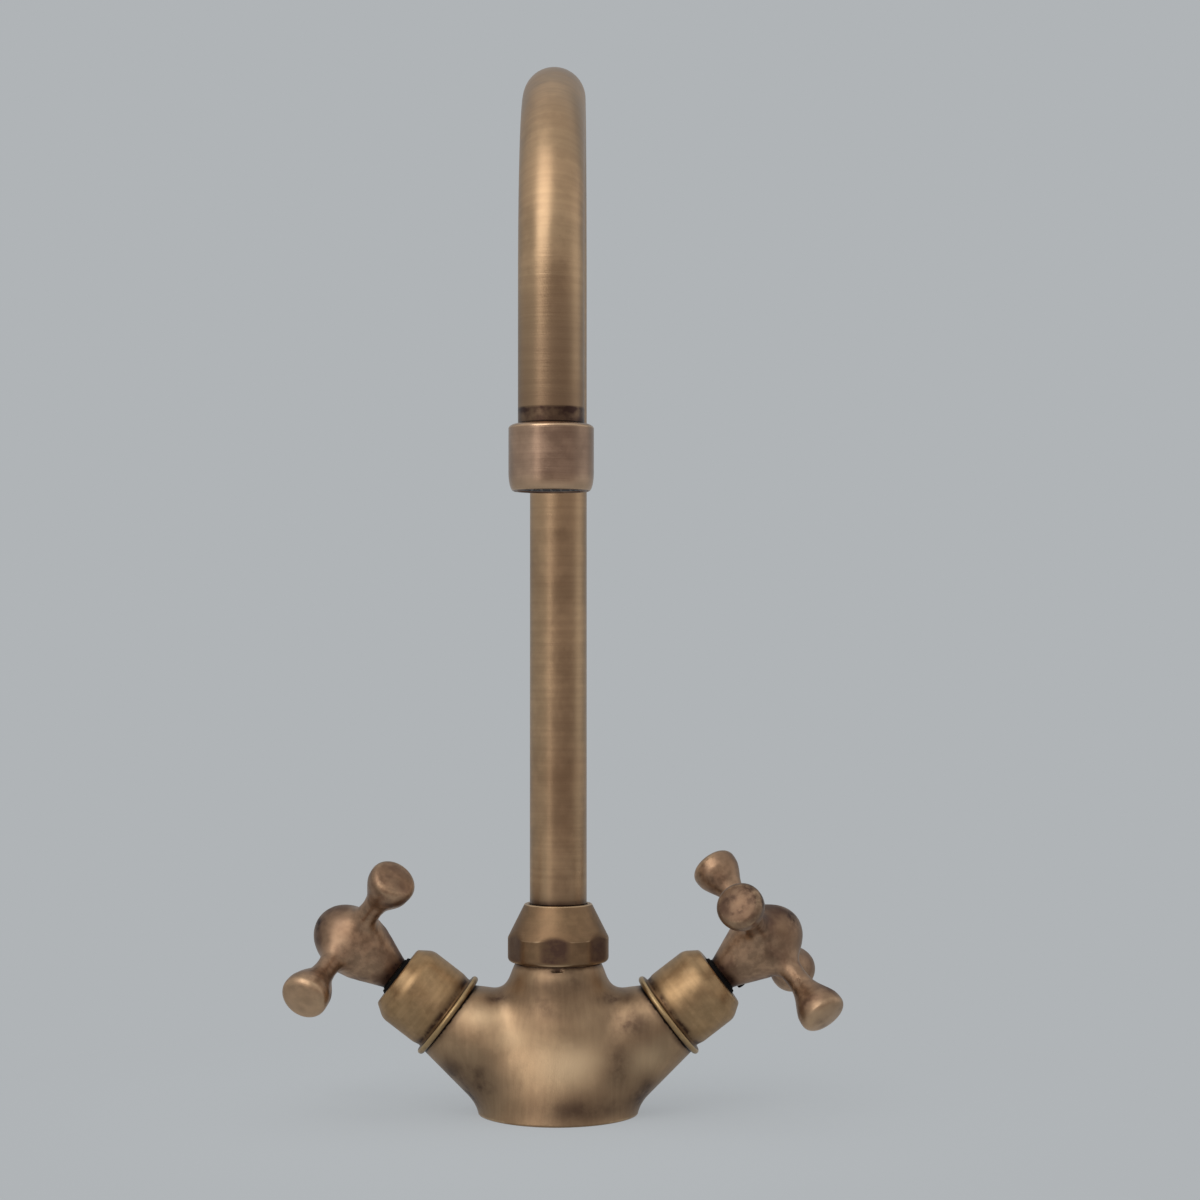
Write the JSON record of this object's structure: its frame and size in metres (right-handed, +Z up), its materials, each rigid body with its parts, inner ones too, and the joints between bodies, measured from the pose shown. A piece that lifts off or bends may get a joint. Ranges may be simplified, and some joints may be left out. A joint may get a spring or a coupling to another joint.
{
  "type": "basin mixer tap",
  "caption": "Deck-mounted basin mixer in antique brass with a swivelling gooseneck spout and a cross handle on each raised arm.",
  "frame": {"origin": "centre of the base face, where the body stands on the deck", "axes": "+Z up along the spout's upright leg, the spout reaches toward -Y, +X toward the cold valve"},
  "size_m": [0.1757, 0.1612, 0.3167],
  "materials": {
    "antique_brass": "brushed, patinated",
    "olive_brass": "brushed round the axis, patinated",
    "bronzed_brass": "smooth, patinated, reddish",
    "raw_brass": "machined, bare",
    "black_rubber": "matt",
    "white_nylon": "smooth",
    "ceramic_disc": "lapped",
    "spring_steel": "satin",
    "black_steel": "blackened",
    "grey_plastic": "smooth"
  },
  "bodies": {
    "valve_body": {"body": "antique_brass", "base_seal": "black_rubber", "spout_nut": "antique_brass", "thrust_ring": "white_nylon", "hot_bonnet": "olive_brass", "hot_mouth_ring": "black_rubber", "hot_gasket": "white_nylon", "hot_cartridge": "raw_brass", "hot_seat_seal": "black_rubber", "hot_fixed_disc": "ceramic_disc", "cold_bonnet": "olive_brass", "cold_mouth_ring": "black_rubber", "cold_gasket": "white_nylon", "cold_cartridge": "raw_brass", "cold_seat_seal": "black_rubber", "cold_fixed_disc": "ceramic_disc"},
    "spout": {"spout_tube": "antique_brass", "spout_foot": "raw_brass", "spout_o_rings": "black_rubber", "outlet_collar": "bronzed_brass", "aerator_insert": "grey_plastic", "aerator_screen": "spring_steel", "aerator_washer": "black_rubber"},
    "hot_tap": {"hot_handle": "bronzed_brass", "hot_grub_screw": "black_steel", "hot_spindle": "raw_brass", "hot_spindle_rings": "black_rubber", "hot_spindle_clip": "spring_steel", "hot_moving_disc": "ceramic_disc"},
    "cold_tap": {"cold_handle": "bronzed_brass", "cold_grub_screw": "black_steel", "cold_spindle": "raw_brass", "cold_spindle_rings": "black_rubber", "cold_spindle_clip": "spring_steel", "cold_moving_disc": "ceramic_disc"}
  },
  "joints": [
    {"name": "spout_swivel", "type": "hinge", "parent": "valve_body", "child": "spout", "pos_m": [0, 0, 0.05], "axis": [0, 0, 1], "continuous": true},
    {"name": "hot_turn", "type": "hinge", "parent": "valve_body", "child": "hot_tap", "pos_m": [-0.0341, 0, 0.03045], "axis": [-0.7934, 0, 0.6088], "range_deg": [0, 90]},
    {"name": "cold_turn", "type": "hinge", "parent": "valve_body", "child": "cold_tap", "pos_m": [0.0341, 0, 0.03045], "axis": [-0.7934, 0, -0.6088], "range_deg": [0, 90]}
  ]
}
